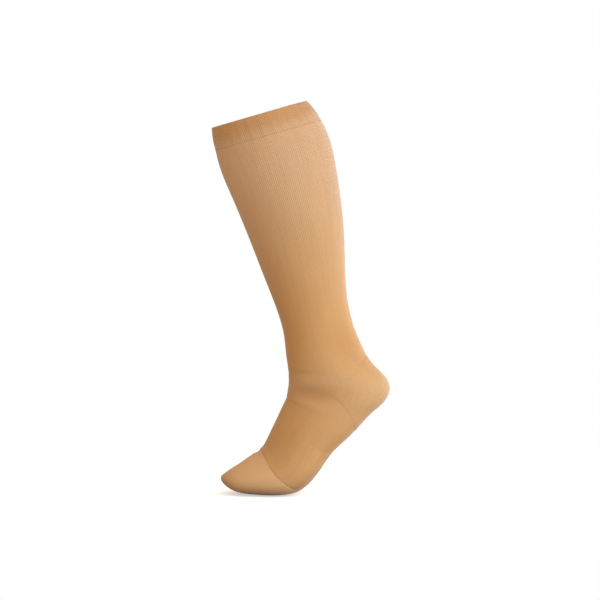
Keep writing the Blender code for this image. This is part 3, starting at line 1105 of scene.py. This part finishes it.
def knitted(name):
    """The material for one knit."""
    knit = KNITS[name]
    material = bpy.data.materials.new(name)
    material.use_nodes = True
    tree = material.node_tree
    chart = add(tree, "UVMap", uv_map="knit_chart")
    split = add(tree, "SeparateXYZ", {0: chart})
    wale, course = split.outputs["X"], split.outputs["Y"]
    height = stitch_height(tree, wale, course)
    streak = streaks_down(tree, wale, course)
    place = add(tree, "TexCoord").outputs["Object"]
    colour = dyed(tree, knit, course, height, streak, place)
    fuzz = add(tree, "TexNoise", {"Vector": place, "Scale": 1 / FUZZ_SIZE})
    fuzzed = add(tree, "Bump", {"Height": fuzz, "Distance": FUZZ_RELIEF})
    relief = add(tree, "Bump", {"Height": height, "Distance": knit.relief, "Normal": fuzzed})
    rough = add(tree, "MapRange", {
        "Value": height,
        "To Min": knit.roughness + GROOVE_ROUGHER, "To Max": knit.roughness - YARN_SMOOTHER,
    })
    feed(tree, tree.nodes["Principled BSDF"], {
        "Base Color": colour,
        "Normal": relief,
        "Roughness": rough,
        "IOR": NYLON_IOR,
        "Specular IOR Level": KNIT_SPECULAR,
        "Sheen Weight": knit.sheen,
        "Sheen Roughness": SHEEN_ROUGHNESS,
        "Sheen Tint": linear(SHEEN_TINT),
    })
    material.diffuse_color = linear(knit.tight)
    return material


for piece, finish in (
    (leg_and_foot, "circular_knit_nylon"),
    (heel_pocket, "plaited_heel_knit"),
    (toe_pocket, "plaited_toe_knit"),
    (top_welt, "double_welt_knit"),
):
    piece.data.materials.append(knitted(finish))
    print(f"{piece.name} is {finish}")

# %% [markdown]
# ## The thread
#
# The joining thread is textured nylon, bulkier and a little paler than the knit. A small noise
# along it stands for its crimp, and breaks up the light on it.

# %% Finish the thread
THREAD_COLOUR = "D2A574"
THREAD_SHADOW = "BC8B57"
THREAD_ROUGHNESS = 0.68
THREAD_SPECULAR = 0.3
THREAD_SHEEN = 0.15
# Twice as long as the crimp of a real thread, so that it shows.
CRIMP = 0.0009
CRIMP_RELIEF = 0.0001

textured_thread = bpy.data.materials.new("textured_nylon_thread")
textured_thread.use_nodes = True
tree = textured_thread.node_tree
place = add(tree, "TexCoord").outputs["Object"]
crimp = add(tree, "TexNoise", {"Vector": place, "Scale": 1 / CRIMP, "Detail": 3.0})
shades = {"Factor": crimp, 6: linear(THREAD_SHADOW), 7: linear(THREAD_COLOUR)}
mixed = add(tree, "Mix", shades, data_type="RGBA")
feed(tree, tree.nodes["Principled BSDF"], {
    "Base Color": mixed.outputs[2],
    "Normal": add(tree, "Bump", {"Height": crimp, "Distance": CRIMP_RELIEF}),
    "Roughness": THREAD_ROUGHNESS,
    "IOR": NYLON_IOR,
    "Specular IOR Level": THREAD_SPECULAR,
    "Sheen Weight": THREAD_SHEEN,
})
for row in (band_stitches, toe_stitches, heel_suture):
    row.data.materials.append(textured_thread)
    print(f"{row.name} is {textured_thread.name}")

# %% [markdown]
# ## The pieces and the imported model
#
# Every piece moves with the one body of the imported model, and the imported nodes that the
# sheets of knit take the place of are hidden. Worn, firm knit is about a third wider than it is
# cut.

# %% Tie the pieces to the imported model
for piece in (
    leg_and_foot, heel_pocket, toe_pocket, top_welt, band_stitches, toe_stitches, heel_suture
):
    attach(piece, "root")
    print(f"{piece.name} moves with the one body")
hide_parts("leg", "foot")
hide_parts("heel")
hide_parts("toe")
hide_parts("top_band")

# %% [markdown]
# ## Floor and light
#
# Hosiery is shown on plain white in the softest light. Two very wide lamps, from the front and
# the right, wrap around the leg and leave the shin in shade, and a third from behind lights the
# edge of the calf. Two low white cards throw light under the heel, as they do in a studio. The
# lamps are a little cool, as daylight is, and the surround that fills the shade is warm, so the
# shade keeps a full tan and the lit side goes pale. The floor is matt white paint, which glows a
# little here so that it melts into the background, and throws back only part of the light.

# %% Lay the floor
FLOOR_RADIUS = 0.6
FLOOR_SIDES = 96
FLOOR_SEEN = "F4F4F4"
FLOOR_GLOW = 0.5
FLOOR_BOUNCE = "B8B8B8"
floor_level = cad_box[0][2]
bpy.ops.mesh.primitive_circle_add(
    vertices=FLOOR_SIDES, radius=FLOOR_RADIUS, fill_type="NGON",
    location=(VIEW_CENTRE.x, 0.0, floor_level),
)
floor = bpy.context.object
floor.name = "studio_floor"
paint = bpy.data.materials.new("matt_white_paint")
paint.use_nodes = True
tree = paint.node_tree
tree.nodes.clear()
lit = add(tree, "BsdfDiffuse", {"Color": linear(FLOOR_SEEN)})
glow = add(tree, "Emission", {"Color": WHITE, "Strength": FLOOR_GLOW})
table = add(tree, "AddShader", {0: lit, 1: glow})
held_back = add(tree, "BsdfDiffuse", {"Color": linear(FLOOR_BOUNCE)})
path = add(tree, "LightPath")
both = add(tree, "MixShader", {0: path.outputs["Is Camera Ray"], 1: held_back, 2: table})
add(tree, "OutputMaterial", {0: both})
floor.data.materials.append(paint)
floor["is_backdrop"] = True
print(f"the floor lies at z = {floor_level:.3f} m")

# %% Set the lamps
LIGHT_COLOUR = "DCEEFF"
# The side is counted in degrees from the front to the right, and the rise from level.
Lamp = namedtuple("Lamp", "name side rise power width")
LAMPS = (
    Lamp("front_lamp", 30.0, 15.0, 1.72, 90.0),
    Lamp("upper_lamp", 30.0, 50.0, 0.90, 90.0),
    Lamp("edge_lamp", 135.0, 3.0, 1.25, 60.0),
)


def finish_light(name, power):
    """Names the light that was just added and gives it its colour and power."""
    light = bpy.context.object
    light.name = name
    light.data.color = linear(LIGHT_COLOUR)[:3]
    light.data.energy = power
    print(f"{name}: {light.data.type.lower()} light of {power}")
    return light


for lamp in LAMPS:
    side, rise = np.radians(lamp.side), np.radians(lamp.rise)
    to_lamp = Vector((
        np.sin(side) * np.cos(rise), -np.cos(side) * np.cos(rise), np.sin(rise)
    ))
    bpy.ops.object.light_add(type="SUN", rotation=to_lamp.to_track_quat("Z", "Y").to_euler())
    finish_light(lamp.name, lamp.power).data.angle = np.radians(lamp.width)

# %% Set the white cards
Card = namedtuple("Card", "name y power")
CARDS = (Card("near_card", -0.2, 0.95), Card("far_card", 0.25, 0.85))
CARD_X, CARD_Z = 0.42, -0.37
CARD_SIZE = 0.3
CARD_FACES = Vector((0.05, 0.0, -0.34))
for card in CARDS:
    place = Vector((CARD_X, card.y, CARD_Z))
    away = (place - CARD_FACES).to_track_quat("Z", "Y")
    bpy.ops.object.light_add(type="AREA", location=place, rotation=away.to_euler())
    light = finish_light(card.name, card.power)
    light.data.size = CARD_SIZE
    light.visible_camera = False

# %% Fill the shade
SURROUND = 0.63
SURROUND_COLOUR = "FFDCB2"
world = bpy.data.worlds.new("white_surround")
world.use_nodes = True
bpy.context.scene.world = world
sky = world.node_tree
sky.nodes.clear()
seen = add(sky, "Background", {"Color": WHITE})
fill = add(sky, "Background", {"Color": linear(SURROUND_COLOUR), "Strength": SURROUND})
path = add(sky, "LightPath")
both = add(sky, "MixShader", {0: path.outputs["Is Camera Ray"], 1: fill, 2: seen})
add(sky, "OutputWorld", {0: both})
bpy.context.scene.view_settings.view_transform = "Standard"
print(f"the surround has {SURROUND} of a warm white")

# %% [markdown]
# ## Measure
#
# The cloth should agree with the imported model, so the boxes of both are printed.

# %% Measure
visual_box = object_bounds()
for name, box in (("packed", cad_box), ("dressed", visual_box)):
    print(f"{name}, in mm:", [[round(value / MM, 1) for value in corner] for corner in box])
